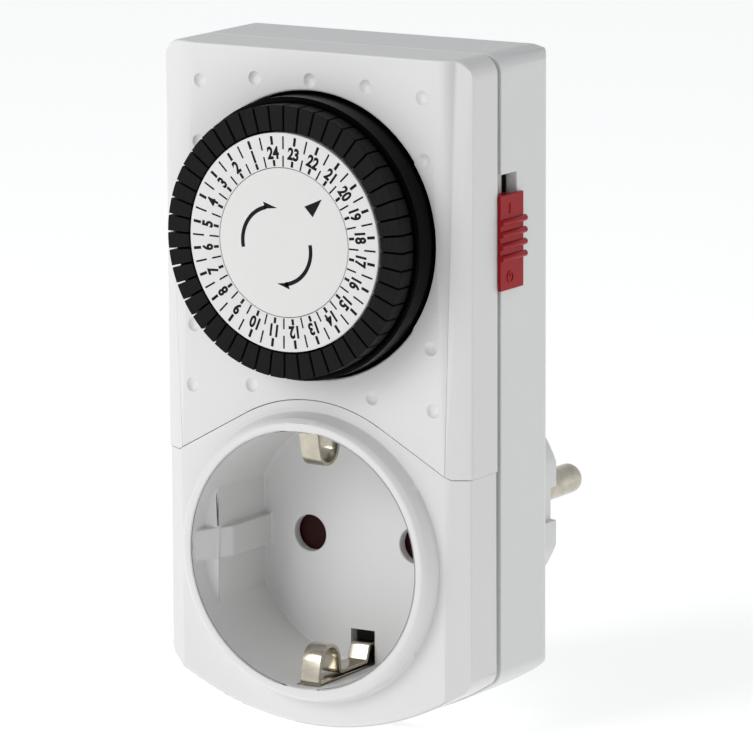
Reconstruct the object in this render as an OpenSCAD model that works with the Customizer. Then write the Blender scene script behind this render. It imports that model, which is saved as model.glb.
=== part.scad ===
// Plug-in timer switch: a wall-plug adapter with an earthed socket, a 24-hour dial and its works.
// X runs to the right and Z up. Y runs back into the wall.
// The origin lies on the end face of the plug, midway between its two pins.

/* [Housing] */
// Width of the rear shell
body_w = 54; // [52:1:62]
// Height of the housing at its middle
body_h = 104; // [102:1:114]
// Depth from the front face to the rear face
body_d = 26.2; // [25.8:0.1:31]
// Depth from the front face to the seam
seam_d = 10.2; // [9.6:0.1:10.8]
// Wall thickness of the shells
wall = 2; // [1.6:0.1:2.2]
// Radius of the upright corners at the top
corner_r = 3; // [2:0.5:5]
// Radius of the curved bottom edge
bottom_arc_r = 47; // [44:1:60]
// How far the socket cover stands back from the sides of the rear shell
cover_step = 0.25; // [0.1:0.05:0.5]
// Depth of the slanted strip along each side of the front
chamfer_d = 2.1; // [1.5:0.1:2.6]
// Width of that strip at the socket
chamfer_w_low = 3.7; // [3:0.1:4.2]
// Width of that strip at the top
chamfer_w_top = 6.1; // [4.5:0.1:6.5]
// Gap where the rear shell meets the covers
seam_gap = 0.3; // [0.15:0.05:0.5]
// Gap where the two covers meet
parting_gap = 0.1; // [0.06:0.02:0.3]
// Rounding of the lower front edge
edge_r = 1; // [0.5:0.1:1.6]
// Rounding of the edges round the rear face
rear_edge_r = 3; // [1.5:0.1:3.2]

/* [Plug] */
// Distance between the pins
pin_spacing = 19; // [17:0.5:20]
// Diameter of a pin
pin_d = 4.8; // [4:0.1:5]
// Length of a pin beyond the plug
pin_len = 19; // [17:0.5:20]
// Diameter of the plug body
plug_d = 37.2; // [36.5:0.1:38]
// Length of the plug body behind the rear face
plug_len = 18.2; // [17:0.1:18.5]
// Distance between the flats on the sides of the plug
plug_flat_w = 34.8; // [34:0.1:35.2]
// Width of the guide grooves
guide_w = 5.3; // [5:0.1:5.8]
// Distance between the floors of the guide grooves
guide_floor_w = 32.8; // [31.5:0.1:33]
// Height of the plug's middle above the middle of the socket
plug_rise = 2.2; // [2:0.1:2.6]

/* [Socket] */
// Diameter of the socket well at its mouth
well_d = 39.7; // [39:0.1:40.2]
// Diameter of the socket well at its floor
well_floor_d = 39.2; // [38.8:0.1:39.6]
// Height of the raised rim
rim_h = 3.2; // [2.4:0.1:3.6]
// Outer diameter of the rim at the front face
rim_base_d = 44.8; // [44:0.1:45.4]
// Outer diameter of the rim at its top
rim_top_d = 43.6; // [43:0.1:44]
// Depth of the well from the front face to its floor
well_depth = 14.6; // [14:0.1:15]
// Thickness of the well floor
well_floor = 1.8; // [1.5:0.1:2]
// Thickness of the wall round the well
well_wall = 1.6; // [1.3:0.1:1.8]
// Diameter of the pin holes in the floor
pin_hole_d = 5.7; // [5.4:0.1:6]
// Distance between the two flat side walls in the well
well_flat_w = 35.4; // [35.2:0.1:36]
// Distance between the guide ribs
rib_gap_w = 33; // [32.9:0.1:33.6]
// Width of the guide ribs
rib_w = 4.8; // [4.6:0.1:5.2]

/* [Dial] */
// Height of the dial's middle above the middle of the socket
dial_gap = 49.4; // [49:0.1:51]
// Outer diameter of the dial drum
drum_d = 43; // [42.8:0.1:43.4]
// How far the number disc stands in front of the face
disc_front = 7.7; // [7:0.1:8.2]
// Outer diameter of the number disc
disc_d = 33.1; // [32.6:0.1:33.3]
// Diameter of the fixed middle of the dial
centre_d = 22.5; // [20:0.5:25]
// How far the day has turned past midnight
dial_turn = 7.4; // [0:0.1:15]
// Outer diameter across the segment heads
heads_d = 41.3; // [41:0.1:41.4]
// Thickness of a segment head
head_t = 3.2; // [2.6:0.1:3.4]
// Travel of a segment
segment_travel = 3; // [2:0.1:3.2]
// Gap between neighbouring segment heads
segment_gap = 0.28; // [0.2:0.02:0.4]
// Diameter of the post that the dial turns on
post_d = 8; // [7:0.5:9]

/* [Dimples] */
// Spacing of the rows of dimples
dimple_pitch = 9.4; // [9:0.1:9.8]
// How far the outer dimples stand from the slanted strips
dimple_inset = 1.6; // [1.4:0.1:2.4]
// Diameter of a dimple
dimple_d = 2.2; // [1.6:0.1:2.6]
// Depth of a dimple
dimple_depth = 0.5; // [0.3:0.05:0.7]
// Height of the arch that the rows follow
dimple_arch = 1.3; // [0:0.1:2]

/* [Slider] */
// Height of the red slider
slider_h = 14.4; // [13:0.1:15]
// Depth of the red slider
slider_w = 6.8; // [6:0.1:7.4]
// How far the slider's cap stands out of the side
slider_proud = 0.6; // [0.5:0.1:0.9]
// Radius of the ribs on the cap
grip_rib_r = 0.5; // [0.4:0.05:0.6]
// Travel of the slider
slider_travel = 3; // [2:0.1:3.2]
// Depth of the slot it runs in
slot_w = 5; // [4:0.1:5.4]

/* [Clearances] */
// Extra distance between meshing gear axles
mesh_gap = 0.12; // [0.08:0.01:0.16]
// Radial clearance of a running bearing
running = 0.06; // [0.03:0.01:0.08]
// Radial gap of pieces that are pushed together
snug = 0.03; // [0.02:0.01:0.05]
// Clearance between pieces that slide
sliding = 0.12; // [0.08:0.01:0.16]
// Clearance between pieces that pass each other
passing = 0.4; // [0.35:0.05:0.45]

/* [Hidden] */
$fn = 64;
eps = 0.01;
SEGMENTS = [for (i = [1:24]) str("segment_", i < 10 ? "0" : "", i)];

// Main planes, from the plug's end face forward
rear_y = -plug_len;
face_y = rear_y - body_d;
seam_y = face_y + seam_d;
// Main heights, from the plug's middle
socket_z = -plug_rise;
dial_z = socket_z + dial_gap;
bottom_z = socket_z - 26.6;
top_z = bottom_z + body_h;
arc_z = bottom_z + bottom_arc_r;
half_w = body_w / 2;
lower_corner_z = arc_z - sqrt(pow(bottom_arc_r - corner_r, 2) - pow(half_w - corner_r, 2));
// The seam between the two covers: an arc over the socket, then a slope on each side
parting_r = 24.2;
parting_slope = 29.2;
parting_side_z = socket_z + 14.2;
// Plug: a pin has a thicker land in the end wall, a collar behind it and a neck for its strap
pin_x = pin_spacing / 2;
pin_r = pin_d / 2;
pin_land_r = pin_r + 0.3;
pin_collar_r = pin_r + 0.8;
pin_neck_r = pin_r - 0.4;
end_wall = 2.5;
strap_y = -end_wall - 1.6;
neck_len = 2.4;
// Socket
well_y = face_y + well_depth;
well_back_y = well_y + well_floor;
well_outer_r = well_d / 2 + well_wall;
sleeve_r = 3;
sleeve_front_y = well_back_y + 3.4;
sleeve_rear_y = sleeve_front_y + 14;
// Earth strips
strip_w = 3.4;
strip_t = 0.6;
strip_slot_w = 4.3;
strip_z = 19.7;
strip_crest_z = 14.6;
slot_outer_z = strip_z + strip_t / 2;
slot_inner_z = strip_crest_z - strip_t / 2 - 0.1;
slot_mid_z = (slot_outer_z + slot_inner_z) / 2;
slot_half_z = slot_outer_z - slot_mid_z;
plug_strip_z = 16.6;
recess_z = plug_strip_z - strip_t / 2;
// Dial: one segment for each half hour of the day
segment_count = 48;
cover_hole_r = drum_d / 2 + passing;
post_r = post_d / 2;
disc_y = face_y - disc_front;
disc_t = 1.5;
head_y = disc_y + 0.1;
trough_y = head_y + head_t + segment_travel + 0.3;
drum_rear_y = face_y + 2.4;
gear_y = face_y + 7.2;
gear_t = 1.4;
tail_len = 0.6;
// Mechanism plate
plate_y = face_y + 13;
plate_t = 1.5;
plate_left_x = -(half_w - wall - 0.6);
plate_right_x = half_w - 5.5;
plate_low_z = dial_z - 17;
plate_high_z = top_z - 8;
// Gear teeth: their module, and their numbers on the dial, the wheels and the pinions
gear_module = 0.5;
dial_teeth = 60;
wheel_teeth = 30;
pinion_teeth = 12;
// Gear train: each axle is given by its distance and direction from the one before
mesh_1_angle = 145;
mesh_2_angle = 20;
mesh_3_angle = -30;
dial_axle = [0, dial_z];
axle_1 = dial_axle + polar(gear_module * (dial_teeth + pinion_teeth) / 2 + mesh_gap, mesh_1_angle);
axle_2 = axle_1 + polar(gear_module * (wheel_teeth + pinion_teeth) / 2 + mesh_gap, mesh_2_angle);
axle_3 = axle_2 + polar(gear_module * (wheel_teeth + pinion_teeth) / 2 + mesh_gap, mesh_3_angle);
axle_r = 0.75;
// Levels of the gears, in front of the mechanism plate
level_1 = [face_y + 7, face_y + 9];
level_2 = [face_y + 9.3, face_y + 10.6];
level_3 = [face_y + 10.9, face_y + 12.2];
// Motor
can_r = 13;
can_y = plate_y + plate_t;
can_len = rear_y - wall - 1.5 - can_y;
can_t = 0.8;
// Housing screws, two at the top and two at the bottom
screw_x = half_w - 5.2;
screw_places = [[screw_x, top_z - 4.2], [-screw_x, top_z - 4.2],
                [screw_x, socket_z - 15.4], [-screw_x, socket_z - 15.4]];
screw_r = 1.4;
screw_head_r = 2.6;
screw_sink = 2;
// Trip lever
lever_x = 9.35;
lever_pivot = [face_y + 8, dial_z - 24];
nose_z = dial_z - 16.2;
nose_y = drum_rear_y + tail_len + segment_travel + 0.2;
// Contact blades
blade_z = dial_z - 20.5;
blade_root_x = -8;
blade_y = face_y + 9.15;
blade_t = 0.3;
blade_half = 1.4;
contact_gap = 1.05;
pad_x = 12.2;
pad_r = 1.2;
pad_t = 0.6;
pad_y = blade_y + blade_t + pad_t + contact_gap;
fixed_t = 0.6;
// Busbars and straps
bar_t = 0.8;
bar_half = 3.2;
// Slider
slider_z = socket_z + 49;
slot_top_z = slider_z + slider_h / 2 + slider_travel;
slot_bottom_z = slider_z - slider_h / 2 + 0.8;
carriage_t = 0.9;
tooth_r = 0.7;

function polar(r, a) = [r * cos(a), r * sin(a)];
function unit(v) = v / norm(v);
function left_of(v) = [-v[1], v[0]];
// Unit normal of a path at its point i, the mean of its two neighbouring runs
function path_normal(p, i) = let (
    a = i > 0 ? unit(p[i] - p[i - 1]) : unit(p[1] - p[0]),
    b = i < len(p) - 1 ? unit(p[i + 1] - p[i]) : a,
    m = unit(a + b)) left_of(m) / max(0.5, m * a);
// Outline of a band of thickness t that follows a path
function band(p, t) = concat(
    [for (i = [0:len(p) - 1]) p[i] + path_normal(p, i) * t / 2],
    [for (i = [len(p) - 1:-1:0]) p[i] - path_normal(p, i) * t / 2]);

// Extrudes a front view, drawn in X and Z, from depth y0 back to depth y1
module from_to(y0, y1) {
    translate([0, y1, 0]) rotate([90, 0, 0]) linear_extrude(y1 - y0) children();
}

// A round bar along Y, from depth y0 back to depth y1
module rod(r, y0, y1, at = [0, 0]) {
    translate([at[0], y1, at[1]]) rotate([90, 0, 0]) cylinder(r = r, h = y1 - y0);
}

// A ring along Y
module tube(r_out, r_in, y0, y1, at = [0, 0]) {
    difference() {
        rod(r_out, y0, y1, at);
        rod(r_in, y0 - 1, y1 + 1, at);
    }
}

// Turns a profile, drawn as radius and depth, about an axis along Y
module turned(at = [0, 0]) {
    translate([at[0], 0, at[1]]) rotate([-90, 0, 0]) rotate_extrude($fn = 96) children();
}

// A box given by its lowest and highest corners
module block(low, high) {
    translate(low) cube(high - low);
}

// A bent metal strip: its path lies in a plane of Y and Z, its width along X about x
module strip(path, t, w, x = 0) {
    translate([x - w / 2, 0, 0]) rotate([90, 0, 90]) linear_extrude(w) polygon(band(path, t));
}

// Front view of the housing, drawn in by g on every side
module outline(g = 0) {
    r = corner_r - g;
    inner_w = half_w - corner_r;
    translate([-half_w + g, lower_corner_z]) square([body_w - 2 * g, top_z - corner_r - lower_corner_z]);
    translate([-inner_w, top_z - corner_r - eps]) square([2 * inner_w, corner_r - g + eps]);
    for (s = [-1, 1]) {
        translate([s * inner_w, top_z - corner_r]) circle(r);
        translate([s * inner_w, lower_corner_z]) circle(r);
    }
    intersection() {
        translate([0, arc_z]) circle(bottom_arc_r - g, $fn = 128);
        polygon([[0, arc_z], 2 * [inner_w, lower_corner_z - arc_z] + [0, arc_z],
                 2 * [-inner_w, lower_corner_z - arc_z] + [0, arc_z]]);
    }
}

// Front view of everything below the seam between the covers, grown by g
module below_parting(g = 0) {
    shoulder = polar(parting_r, 90 - parting_slope);
    run = (shoulder[1] - parting_side_z + socket_z) / tan(parting_slope);
    translate([0, socket_z]) circle(parting_r + g, $fn = 96);
    polygon([[-body_w, bottom_z - 5], [body_w, bottom_z - 5], [body_w, parting_side_z + g],
             [shoulder[0] + run, parting_side_z + g], [shoulder[0], shoulder[1] + socket_z + g],
             [-shoulder[0], shoulder[1] + socket_z + g], [-shoulder[0] - run, parting_side_z + g],
             [-body_w, parting_side_z + g]]);
}

// Width of the slanted side strips at height z
function strip_w_at(z) = chamfer_w_low
    + (chamfer_w_top - chamfer_w_low) * (z - parting_side_z) / (top_z - parting_side_z);

// Plan view of the front with its slanted side strips, w wide at this height
module front_plan(w, g) {
    polygon([[-half_w + g, seam_y], [-half_w + g, face_y + chamfer_d], [-half_w + w, face_y],
             [half_w - w, face_y], [half_w - g, face_y + chamfer_d], [half_w - g, seam_y]]);
}

// Rounds the lower front edge: a disc about the centre of the bottom arc
module bottom_edge() {
    turned([0, arc_z]) {
        difference() {
            translate([0, face_y]) square([bottom_arc_r, seam_d]);
            translate([bottom_arc_r - edge_r, face_y]) difference() {
                square(edge_r + 1);
                translate([0, edge_r]) circle(edge_r, $fn = 48);
                translate([0, edge_r]) square(edge_r + 1);
            }
        }
    }
}

// Bosses in the covers take the housing screws
module cover_boss(p) {
    tube(2.7, screw_r + 0.05, face_y + wall - eps, seam_y, p);
}

module upper_cover() {
    color([0.88, 0.87, 0.86]) difference() {
        union() {
            difference() {
                intersection() {
                    hull() {
                        translate([0, 0, parting_side_z]) linear_extrude(eps)
                            front_plan(chamfer_w_low, 0);
                        translate([0, 0, top_z - eps]) linear_extrude(eps) front_plan(chamfer_w_top, 0);
                    }
                    from_to(face_y - 1, seam_y) outline();
                }
                from_to(face_y + wall, seam_y + 1) outline(wall);
            }
            for (i = [0, 1]) cover_boss(screw_places[i]);
        }
        from_to(face_y - 2, seam_y + 1) below_parting(parting_gap / 2);
        rod(cover_hole_r, face_y - 1, face_y + wall + 1, dial_axle);
        dimples();
    }
}

// Shallow dimples in arched rows, left out where the dial stands
module dimples() {
    ball_r = (pow(dimple_d / 2, 2) + pow(dimple_depth, 2)) / (2 * dimple_depth);
    for (row = [0:5], col = [-2:2]) {
        row_z = top_z - 5.8 - row * dimple_pitch;
        x = col / 2 * (half_w - strip_w_at(row_z) - dimple_inset);
        z = row_z + dimple_arch * (1 - pow(col / 2, 2));
        clear_of_dial = norm([x, z - dial_z]) > cover_hole_r + dimple_d / 2 + 0.3;
        clear_of_seam = norm([x, z - socket_z]) > parting_r + dimple_d / 2 + 1;
        if (clear_of_dial && clear_of_seam)
            translate([x, face_y - ball_r + dimple_depth, z]) rotate([90, 0, 0]) sphere(ball_r, $fn = 32);
    }
}

// The solid round the well, before the well is cut out
module well_block() {
    rim_round = 0.7;
    turned([0, socket_z])
        polygon([[0, face_y - rim_h], [rim_top_d / 2 - rim_round, face_y - rim_h],
                 [rim_top_d / 2, face_y - rim_h + rim_round], [rim_base_d / 2, face_y],
                 [rim_base_d / 2, face_y + wall], [well_outer_r, face_y + wall],
                 [well_outer_r, well_back_y], [0, well_back_y]]);
    // Housing of each earth strip beside the well
    for (s = [-1, 1])
        block([-4, face_y + 1, socket_z + s * 20.6 - 1.9], [4, well_back_y, socket_z + s * 20.6 + 1.9]);
}

// The well itself, with its flat side walls and guide ribs left standing
module well_cut() {
    lead_in = 0.15;
    ledge_h = 24;
    difference() {
        turned([0, socket_z])
            polygon([[0, face_y - rim_h - 1], [well_d / 2 + lead_in, face_y - rim_h - 1],
                     [well_d / 2 + lead_in, face_y - rim_h], [well_d / 2, face_y - rim_h + lead_in],
                     [well_floor_d / 2, well_y], [0, well_y]]);
        for (s = [-1, 1]) {
            ramped_ledge(s, well_flat_w / 2, face_y + 0.2, face_y + 1.2, ledge_h);
            ramped_ledge(s, rib_gap_w / 2, face_y - 2.6, face_y + 3.6, rib_w);
        }
    }
}

// What stands in the well on side s, x0 from its middle: its front slopes back from y0 to y1
module ramped_ledge(s, x0, y0, y1, height) {
    wall_x = well_d / 2;
    translate([0, 0, socket_z - height / 2]) linear_extrude(height)
        polygon([[s * x0, y1], [s * wall_x, y0], [s * (wall_x + 1), y0],
                 [s * (wall_x + 1), well_y + 1], [s * x0, well_y + 1]]);
}

module socket_cover() {
    g = cover_step;
    color([0.88, 0.87, 0.86]) difference() {
        union() {
            difference() {
                intersection() {
                    translate([0, 0, bottom_z - 1]) linear_extrude(60) front_plan(chamfer_w_low, g);
                    from_to(face_y - 1, seam_y) outline(g);
                    from_to(face_y - 1, seam_y) below_parting(-parting_gap / 2);
                    union() {
                        bottom_edge();
                        block([-body_w, face_y, socket_z - 12], [body_w, seam_y, socket_z + 40]);
                    }
                }
                from_to(face_y + wall, seam_y + 1) outline(wall + g);
            }
            well_block();
            for (i = [2, 3]) cover_boss(screw_places[i]);
            // Tongues that reach under the upper cover
            for (s = [-1, 1])
                block([s * 9 - 3, face_y + wall, socket_z + 20],
                      [s * 9 + 3, face_y + wall + 1.6, socket_z + 25.6]);
        }
        well_cut();
        for (s = [-1, 1]) {
            rod(pin_hole_d / 2, well_y - 1, well_back_y + 1, [s * pin_x, socket_z]);
            // Slot in the floor, and the channel in front of it, for an earth strip
            block([-strip_slot_w / 2, face_y - 1.6, socket_z + s * slot_mid_z - slot_half_z],
                  [strip_slot_w / 2, well_back_y + 1, socket_z + s * slot_mid_z + slot_half_z]);
        }
        rod(2.05, well_back_y - 1, well_back_y + 1, [0, socket_z]);
    }
}

// Round body of the plug, with its side flats and guide grooves
module plug_section(g = 0) {
    r = plug_d / 2 - g;
    difference() {
        intersection() {
            circle(r, $fn = 96);
            square([plug_flat_w - 2 * g, plug_d], center = true);
        }
        for (s = [-1, 1])
            translate([s * (guide_floor_w / 2 + 5 - g), 0]) square([10, guide_w + 2 * g], center = true);
    }
}

module rear_shell() {
    color([0.82, 0.82, 0.83]) difference() {
        union() {
            difference() {
                intersection() {
                    from_to(seam_y + seam_gap, rear_y) outline();
                    rear_edge_form();
                }
                from_to(seam_y - 1, rear_y - wall) outline(wall);
            }
            from_to(rear_y - wall, 0) plug_section();
            for (p = screw_places) rod(3.3, seam_y, rear_y - wall + eps, p);
        }
        // The inside of the plug is open to the housing
        from_to(rear_y - wall - 1, -end_wall) intersection() {
            plug_section(1.5);
            square([plug_d, 2 * (recess_z - 1.2)], center = true);
        }
        for (s = [-1, 1]) {
            rod(pin_land_r + snug, -end_wall - 1, 1, [s * pin_x, 0]);
            // Recess and passage for an earth strip, above and below the pins
            block([-2.3, rear_y + eps, s > 0 ? recess_z : -plug_d], [2.3, -2.2, s > 0 ? plug_d : -recess_z]);
            block([-2.3, rear_y - wall - 1, s * 16.9 - 0.9], [2.3, rear_y + 1, s * 16.9 + 0.9]);
        }
        for (p = screw_places) {
            rod(screw_r + 0.1, seam_y, rear_y + 1, p);
            rod(screw_head_r + 0.2, rear_y - screw_sink, rear_y + 1, p);
        }
        slider_slot();
    }
}

// Rounds the edges round the rear face: the upright ones, the top one and the bottom arc
module rear_edge_form() {
    r = rear_edge_r;
    depth = rear_y - seam_y;
    intersection() {
        translate([0, 0, bottom_z - 1]) linear_extrude(body_h + 2) {
            translate([-half_w, seam_y]) square([body_w, depth - r]);
            translate([-half_w + r, seam_y]) square([body_w - 2 * r, depth]);
            for (s = [-1, 1]) translate([s * (half_w - r), rear_y - r]) circle(r);
        }
        translate([-half_w - 1, 0, 0]) rotate([90, 0, 90]) linear_extrude(body_w + 2) {
            translate([seam_y, bottom_z - 1]) square([depth - r, body_h + 1]);
            translate([seam_y, bottom_z - 1]) square([depth, body_h + 1 - r]);
            translate([rear_y - r, top_z - r]) circle(r);
        }
        union() {
            turned([0, arc_z]) {
                translate([0, seam_y]) square([bottom_arc_r, depth - r]);
                translate([0, seam_y]) square([bottom_arc_r - r, depth]);
                intersection() {
                    translate([bottom_arc_r - r, rear_y - r]) circle(r, $fn = 48);
                    translate([0, seam_y]) square([bottom_arc_r, depth]);
                }
            }
            block([-body_w, seam_y, socket_z - 12], [body_w, rear_y, top_z + 1]);
        }
    }
}

// Slot in the right wall, open towards the seam
module slider_slot() {
    block([half_w - wall - 1, seam_y - 1, slot_bottom_z], [half_w + 1, seam_y + slot_w, slot_top_z]);
}

module housing_screws() {
    color([0.6, 0.6, 0.62]) for (p = screw_places) difference() {
        union() {
            rod(screw_head_r, rear_y - screw_sink, rear_y - screw_sink + 1.4, p);
            rod(screw_r, face_y + wall + 1, rear_y - screw_sink + eps, p);
        }
        // Crossed recess in the head
        for (a = [0, 90])
            translate([p[0], rear_y - screw_sink + 1, p[1]]) rotate([0, a, 0])
                  cube([0.7, 1, 3], center = true);
    }
}

// One half of the slot plate's pattern: a radial slot for the stem of segment i
module stem_slot(i, g = 0) {
    a = segment_angle(i);
    rotate(a) translate([17.1 - g, -0.85 - g]) square([3.2 + 2 * g, 1.7 + 2 * g]);
}

function segment_angle(i) = 90 + dial_turn + (i + 0.5) * 360 / segment_count;

// Black drum of the dial: outer wall, slotted plate, hub and the gear at the back
module dial_ring() {
    wall_in_r = heads_d / 2 + sliding;
    hub_r = disc_d / 2;
    turn_r = post_r + running;
    wall_front_y = head_y + head_t + 0.1;
    color([0.09, 0.09, 0.1]) difference() {
        union() {
            turned(dial_axle) {
                // Outer wall
                polygon([[wall_in_r, wall_front_y], [drum_d / 2 - 0.3, wall_front_y],
                         [drum_d / 2, wall_front_y + 0.3],
                         [drum_d / 2, drum_rear_y], [drum_d / 2 + 1.6, drum_rear_y + 0.2],
                         [drum_d / 2 + 1.6, drum_rear_y + 1], [wall_in_r - 0.3, drum_rear_y + 1],
                         [wall_in_r - 0.3, trough_y + 1], [wall_in_r, trough_y + 1]]);
                // Slotted plate
                translate([hub_r - 1.5, trough_y]) square([drum_d / 2 - hub_r + 1, drum_rear_y - trough_y]);
                // Hub with the seat of the number disc
                polygon([[turn_r, disc_y + disc_t], [hub_r, disc_y + disc_t], [hub_r, drum_rear_y],
                         [hub_r - 1.5, drum_rear_y], [hub_r - 1.5, disc_y + disc_t + 1.5],
                         [turn_r + 1.5, disc_y + disc_t + 1.5], [turn_r + 1.5, gear_y + 0.1],
                               [turn_r, gear_y + 0.1]]);
                // Web that carries the gear
                translate([turn_r, drum_rear_y - 1.2]) square([hub_r - turn_r - 1, 1.2]);
            }
            translate([0, 0, dial_z]) from_to(gear_y, gear_y + gear_t)
                rotate(mesh_1_angle) gear_outline(dial_teeth);
        }
        translate([0, 0, dial_z]) from_to(trough_y - 1, drum_rear_y + 2)
            for (i = [0:segment_count - 1]) stem_slot(i);
        rod(turn_r, disc_y, gear_y + 3, dial_axle);
    }
}

module number_disc() {
    color([0.89, 0.89, 0.88]) tube(disc_d / 2, centre_d / 2 + 0.1, disc_y, disc_y + disc_t, dial_axle);
}

module centre_cap() {
    color([0.89, 0.89, 0.88]) {
        rod(centre_d / 2, disc_y, disc_y + disc_t - 0.3, dial_axle);
    }
}

// One segment: a wedge-shaped head, and a stem that runs in the drum's slot
module segment(i) {
    half = 180 / segment_count;
    r_in = disc_d / 2 + 0.3;
    r_out = heads_d / 2;
    trim = segment_gap / 2;
    translate([0, 0, dial_z]) {
        from_to(head_y, head_y + head_t) rotate(segment_angle(i)) difference() {
            intersection() {
                circle(r_out, $fn = 96);
                polygon([[trim / sin(half), 0], [trim / sin(half), 0] + polar(30, half),
                         [trim / sin(half), 0] + polar(30, -half)]);
            }
            circle(r_in, $fn = 96);
        }
        from_to(head_y + head_t - eps, drum_rear_y + tail_len) stem_slot(i, -sliding);
    }
}

// The two half-hour segments of one hour
module hour_segments(hour) {
    color([0.13, 0.13, 0.14]) for (half = [0, 1]) segment(2 * (hour - 1) + half);
}

// Outline of an involute gear with its first tooth on the X axis
module gear_outline(teeth, m = gear_module) {
    pressure = 20;
    thinning = 0.09;
    r = m * teeth / 2;
    base_r = r * cos(pressure);
    tip_r = r + 0.8 * m;
    root_r = r - 1.05 * m;
    start_r = max(base_r, root_r);
    tooth_half = 90 / teeth - thinning / r * 90 / PI + involute_lag(r, base_r);
    flank = [for (k = [0:2]) start_r + (tip_r - start_r) * k / 2];
    polygon([for (t = [0:teeth - 1]) let (a = t * 360 / teeth) each concat(
        [polar(root_r, a - tooth_half)],
        [for (k = [0:2]) polar(flank[k], a - tooth_half + involute_lag(flank[k], base_r))],
        [for (k = [2:-1:0]) polar(flank[k], a + tooth_half - involute_lag(flank[k], base_r))],
        [polar(root_r, a + tooth_half)])]);
}

// Angle by which the involute has turned away from its start at radius r
function involute_lag(r, base_r) = let (a = acos(min(1, base_r / r))) tan(a) * 180 / PI - a;

// A wheel with a pinion in front of it, on a bore for its axle
module compound_gear(at, pinion_level, wheel_level, pinion_turn, wheel_turn) {
    color([0.93, 0.91, 0.84]) difference() {
        translate([at[0], 0, at[1]]) {
            from_to(pinion_level[0], pinion_level[1] + 0.5) rotate(pinion_turn) gear_outline(pinion_teeth);
            from_to(wheel_level[0], wheel_level[1]) rotate(wheel_turn) gear_outline(wheel_teeth);
        }
        rod(axle_r + running, pinion_level[0] - 1, wheel_level[1] + 1, at);
        for (a = [0:60:300])
            rod(1, wheel_level[0] - 1, wheel_level[1] + 1, at + polar(4.9, a));
    }
}

module gear_1() {
    compound_gear(axle_1, level_1, level_2, mesh_1_angle + 180 + 180 / pinion_teeth, mesh_2_angle);
}

module gear_2() {
    compound_gear(axle_2, level_2, level_3, mesh_2_angle + 180 + 180 / pinion_teeth, mesh_3_angle);
}

// Axle pins riveted into the mechanism plate, each with a collar in front of its gear
module gear_axles() {
    color([0.7, 0.7, 0.72]) {
        for (a = [[axle_1, level_1[0], level_2[1]], [axle_2, level_2[0], level_3[1]]]) {
            rod(axle_r, a[1] - 0.4, plate_y + plate_t, a[0]);
            rod(1.3, a[1] - 0.4, a[1] - 0.1, a[0]);
            rod(1.3, a[2] + 0.2, plate_y, a[0]);
        }
    }
}

// Plate behind the dial: it carries the post, the axles, the motor and the lever's ears
module mechanism_plate() {
    foot_w = 3.6;
    foot_h = 4;
    ear_in_x = 1.7;
    ear_out_x = 2.9;
    ear_low_z = lever_pivot[1] - 1.6;
    color([0.86, 0.84, 0.78]) difference() {
        union() {
            block([plate_left_x, plate_y, plate_low_z], [plate_right_x, plate_y + plate_t, plate_high_z]);
            rod(post_r, disc_y + disc_t - 0.3, plate_y + eps, dial_axle);
            // Ears of the trip lever, below the plate
            for (x = [lever_x - ear_out_x, lever_x + ear_in_x])
                block([x, plate_y - 6.4, ear_low_z],
                      [x + ear_out_x - ear_in_x, plate_y + eps, lever_pivot[1] + 1.1]);
            block([lever_x - ear_out_x, plate_y, ear_low_z],
                  [lever_x + ear_out_x, plate_y + plate_t, plate_low_z + eps]);
            // Feet that stand on the rear wall
            for (x = [plate_left_x + 0.1, plate_right_x - 0.2 - foot_w])
                for (z = [plate_low_z, plate_high_z - foot_h])
                    block([x, plate_y + plate_t - eps, z], [x + foot_w, rear_y - wall, z + foot_h]);
        }
        for (a = [axle_1, axle_2]) rod(axle_r, plate_y - 1, plate_y + plate_t + 1, a);
        rod(2.6, plate_y - 1, plate_y + plate_t + 1, axle_3);
        translate([lever_x, lever_pivot[0], lever_pivot[1]]) rotate([0, 90, 0])
            cylinder(r = 0.6, h = 10, center = true);
    }
}

module lever_pin() {
    color([0.7, 0.7, 0.72]) translate([lever_x, lever_pivot[0], lever_pivot[1]]) rotate([0, 90, 0])
        cylinder(r = 0.6, h = 6.4, center = true);
}

// Lever that the pressed segments push back
module trip_lever() {
    w = 2.8;
    color([0.75, 0.3, 0.12]) difference() {
        translate([lever_x - w / 2, 0, 0]) rotate([90, 0, 90]) linear_extrude(w) {
            // Hub, arm and nose, drawn in Y and Z
            translate([lever_pivot[0], lever_pivot[1]]) circle(1.7, $fn = 48);
            polygon([[lever_pivot[0] - 0.8, lever_pivot[1]], [lever_pivot[0] + 0.8, lever_pivot[1]],
                     [lever_pivot[0] + 0.8, nose_z + 1.5], [nose_y + 0.6, nose_z + 1.5],
                     [nose_y, nose_z + 0.9], [nose_y, nose_z - 0.9], [nose_y + 1.2, nose_z - 2.1]]);
        }
        translate([lever_x, lever_pivot[0], lever_pivot[1]]) rotate([0, 90, 0])
            cylinder(r = 0.6 + running, h = 10, center = true);
    }
}

// Spring blade that the lever presses, with its silver contact
module moving_contact() {
    color([0.8, 0.6, 0.3]) {
        block([blade_root_x, blade_y, blade_z - blade_half],
              [pad_x + 1.4, blade_y + blade_t, blade_z + blade_half]);
        rod(pad_r, blade_y + blade_t - eps, blade_y + blade_t + pad_t, [pad_x, blade_z]);
    }
}

// Blade that the moving contact closes on, riveted to its busbar
module fixed_contact() {
    color([0.8, 0.6, 0.3]) {
        block([pad_x - 1.6, pad_y + pad_t, blade_z - blade_half],
              [pin_x + 8.1, pad_y + pad_t + fixed_t, blade_z + blade_half]);
        rod(pad_r, pad_y, pad_y + pad_t + eps, [pad_x, blade_z]);
    }
}

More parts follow.
